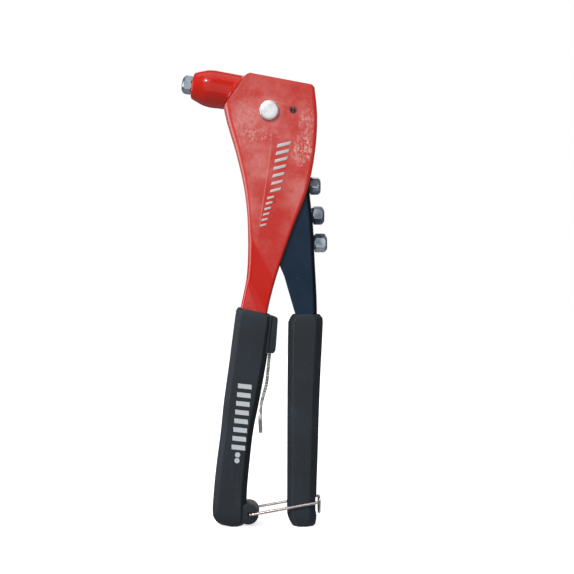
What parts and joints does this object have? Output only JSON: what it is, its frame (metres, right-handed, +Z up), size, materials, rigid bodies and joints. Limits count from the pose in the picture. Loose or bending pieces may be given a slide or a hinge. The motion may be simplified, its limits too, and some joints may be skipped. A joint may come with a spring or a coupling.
{
  "type": "hand riveter",
  "caption": "Hand riveter: folded body with a bullet barrel and nosepiece, nested lever carrying spare nosepieces, moulded grips, wire bail latch and a stowed spanner.",
  "frame": {"origin": "bottom centre of the bounding box, with the tool standing on the ends of its two grips", "axes": "+Z up along the closed grips, nose towards -X, pivot pin along Y with its head towards -Y"},
  "size_m": [0.0848, 0.03, 0.264],
  "materials": {
    "red_paint": "glossy enamel",
    "blue_black": "blue-black finish",
    "black_plastic": "moulded, satin",
    "bright_zinc": "bright zinc plate",
    "ground_steel": "ground",
    "dark_steel": "blackened",
    "plated_wire": "plated wire",
    "stamped_steel": "stamped, plated"
  },
  "bodies": {
    "body": {"body_frame": "red_paint", "barrel": "red_paint", "fixed_grip": "black_plastic", "pivot_pin": "ground_steel", "pivot_ring": "dark_steel", "stop_pin": "dark_steel"},
    "lever": {"moving_handle": "blue_black", "moving_grip": "black_plastic"},
    "jaw_carrier": {"jaw_case": "ground_steel", "drawbar": "ground_steel", "trunnion_pin": "ground_steel", "jaw_spring": "plated_wire"},
    "upper_jaw": {"jaw_upper": "dark_steel"},
    "lower_jaw": {"jaw_lower": "dark_steel"},
    "pusher": {"jaw_pusher": "ground_steel"},
    "latch": {"latch_wire": "plated_wire"},
    "spanner": {"spanner": "stamped_steel"},
    "nosepiece": {"front_nosepiece": "bright_zinc"},
    "spare_1": {"spare_nosepiece_1": "bright_zinc"},
    "spare_2": {"spare_nosepiece_2": "bright_zinc"},
    "spare_3": {"spare_nosepiece_3": "bright_zinc"}
  },
  "joints": [
    {"name": "lever_pivot", "type": "hinge", "parent": "body", "child": "lever", "pos_m": [0.0088, 0, 0.2389], "axis": [0, -1, 0], "range_deg": [0, 60]},
    {"name": "jaw_case_slide", "type": "slide", "parent": "body", "child": "jaw_carrier", "axis": [-0.9863, 0, 0.165], "range_m": [0, 0.01]},
    {"name": "upper_jaw_slide", "type": "slide", "parent": "jaw_carrier", "child": "upper_jaw", "axis": [0.9969, 0, 0.0785], "range_m": [0, 0.0019]},
    {"name": "lower_jaw_slide", "type": "slide", "parent": "jaw_carrier", "child": "lower_jaw", "axis": [0.9171, 0, -0.3987], "range_m": [0, 0.0019]},
    {"name": "pusher_slide", "type": "slide", "parent": "jaw_carrier", "child": "pusher", "axis": [0.9863, 0, -0.165], "range_m": [0, 0.00185], "deforming": ["jaw_spring"]},
    {"name": "latch_hinge", "type": "hinge", "parent": "body", "child": "latch", "pos_m": [-0.0026, 0, 0.0074], "axis": [0, 1, 0], "range_deg": [0, 100]},
    {"name": "spanner_slide", "type": "slide", "parent": "body", "child": "spanner", "axis": [-0.0791, 0, -0.9969], "range_m": [0, 0.025]},
    {"name": "nosepiece_unscrew", "type": "slide", "parent": "body", "child": "nosepiece", "axis": [-0.9863, 0, 0.165], "range_m": [0, 0.017]},
    {"name": "spare_1_unscrew", "type": "slide", "parent": "lever", "child": "spare_1", "axis": [1, 0, 0], "range_m": [0, 0.017]},
    {"name": "spare_2_unscrew", "type": "slide", "parent": "lever", "child": "spare_2", "axis": [1, 0, 0], "range_m": [0, 0.017]},
    {"name": "spare_3_unscrew", "type": "slide", "parent": "lever", "child": "spare_3", "axis": [1, 0, 0], "range_m": [0, 0.017]}
  ],
  "couplings": [
    {"joint": "jaw_case_slide", "follows": "lever_pivot", "m_per_rad": 0.00948},
    {"joint": "upper_jaw_slide", "follows": "lever_pivot", "m_per_rad": 0.001771},
    {"joint": "lower_jaw_slide", "follows": "lever_pivot", "m_per_rad": 0.001771},
    {"joint": "pusher_slide", "follows": "lever_pivot", "m_per_rad": 0.001719}
  ]
}
